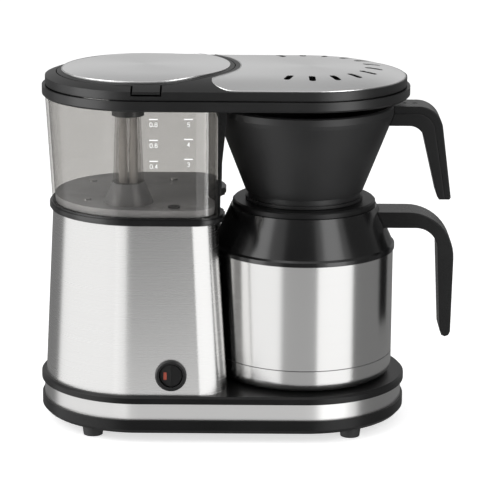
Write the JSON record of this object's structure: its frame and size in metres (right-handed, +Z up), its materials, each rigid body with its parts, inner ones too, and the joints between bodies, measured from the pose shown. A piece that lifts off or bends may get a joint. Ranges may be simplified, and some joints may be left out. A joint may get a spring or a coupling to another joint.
{
  "type": "drip coffee maker",
  "caption": "Drip coffee maker with steel heater tower, clear reservoir, long domed head with hinged lid, filter basket with handle, insulated steel carafe and rocker switch.",
  "frame": {"origin": "centre of the outline (base's left end to carafe handle) at table level", "axes": "+Z up, +X to the right from tower to carafe, +Y to the rear"},
  "size_m": [0.3244, 0.1604, 0.2823],
  "materials": {
    "steel_shell": "brushed, vertical grain, satin",
    "steel_band": "brushed along its length, satin",
    "steel_plate": "fine brushed, satin",
    "steel_carafe": "fine brushed, semi-bright",
    "steel_liner": "bright drawn steel",
    "black_base": "satin black",
    "black_panel": "semi-gloss black",
    "black_head": "fine-grained satin black",
    "black_switch": "semi-gloss black",
    "black_rocker": "semi-gloss black",
    "rubber_feet": "matte",
    "black_gland": "matte",
    "clear_tank": "smoky clear plastic, polished",
    "clear_riser": "clear plastic, polished",
    "grey_floor": "satin grey",
    "grey_riser": "satin grey",
    "black_water": "satin black",
    "tube_beige": "satin",
    "duct_plastic": "satin grey",
    "black_basket": "satin black",
    "black_grip": "fine-grained satin black",
    "black_carafe": "satin black",
    "seal_rubber": "matte",
    "screw_steel": "plain steel",
    "heater_cast": "as cast",
    "element_metal": "heat-darkened",
    "zinc_steel": "zinc plated",
    "ceramic_white": "matte",
    "silicone_hose": "satin",
    "valve_white": "satin",
    "blade_brass": "plain"
  },
  "bodies": {
    "machine": {"base_pan": "black_base", "base_band": "steel_band", "base_deck": "black_base", "feet": "rubber_feet", "base_screws": "screw_steel", "cord_gland": "black_gland", "tower_shell": "steel_shell", "bay_panel": "black_panel", "tower_collar": "black_panel", "switch_bezel": "black_switch", "switch_housing": "black_switch", "switch_terminals": "blade_brass", "reservoir_tank": "clear_tank", "reservoir_floor": "grey_floor", "floor_screws": "screw_steel", "outlet_strainer": "black_water", "riser_base": "grey_riser", "riser_tube": "clear_riser", "riser_inner_tubes": "tube_beige", "riser_cap": "black_water", "head_posts": "black_panel", "head_frame": "black_head", "head_cover": "black_head", "brew_plate": "steel_plate", "water_duct": "duct_plastic", "shower_head": "black_water", "head_screws": "screw_steel", "heater_body": "heater_cast", "heating_element": "element_metal", "heater_bracket": "zinc_steel", "thermostat": "ceramic_white", "thermal_fuse": "ceramic_white", "inlet_hose": "silicone_hose", "outlet_hose": "silicone_hose", "check_valve": "valve_white", "hose_clamps": "zinc_steel", "terminal_block": "ceramic_white"},
    "lid": {"lid_ring": "black_head", "lid_disc": "steel_plate", "lid_tab": "black_head", "lid_hinge_pin": "screw_steel"},
    "rocker": {"switch_rocker": "black_rocker"},
    "basket": {"filter_basket": "black_basket", "basket_handle_outer": "black_grip", "basket_handle_inner": "black_grip", "basket_handle_screws": "screw_steel"},
    "carafe": {"carafe_body": "steel_carafe", "carafe_base_cap": "steel_carafe", "carafe_liner": "steel_liner", "carafe_shoulder": "black_carafe", "carafe_handle": "black_grip", "carafe_handle_screws": "screw_steel"},
    "carafe_lid": {"carafe_lid": "black_carafe", "carafe_lid_seal": "seal_rubber"}
  },
  "joints": [
    {"name": "lid_hinge", "type": "hinge", "parent": "machine", "child": "lid", "pos_m": [-0.07825, 0.0732, 0.2728], "axis": [-1, 0, 0], "range_deg": [0, 95]},
    {"name": "rocker_rock", "type": "hinge", "parent": "machine", "child": "rocker", "pos_m": [-0.05685, -0.07433, 0.05394], "axis": [0, 0.0617, 0.9981], "range_deg": [0, 12]},
    {"name": "carafe_slide", "type": "slide", "parent": "machine", "child": "carafe", "axis": [1, 0, 0], "range_m": [0, 0.2]},
    {"name": "carafe_lid_turn", "type": "hinge", "parent": "carafe", "child": "carafe_lid", "pos_m": [0.04505, 0, 0.17], "axis": [0, 0, 1], "range_deg": [0, 60]},
    {"name": "basket_slide", "type": "slide", "parent": "machine", "child": "basket", "axis": [1, 0, 0], "range_m": [0, 0.2]}
  ]
}
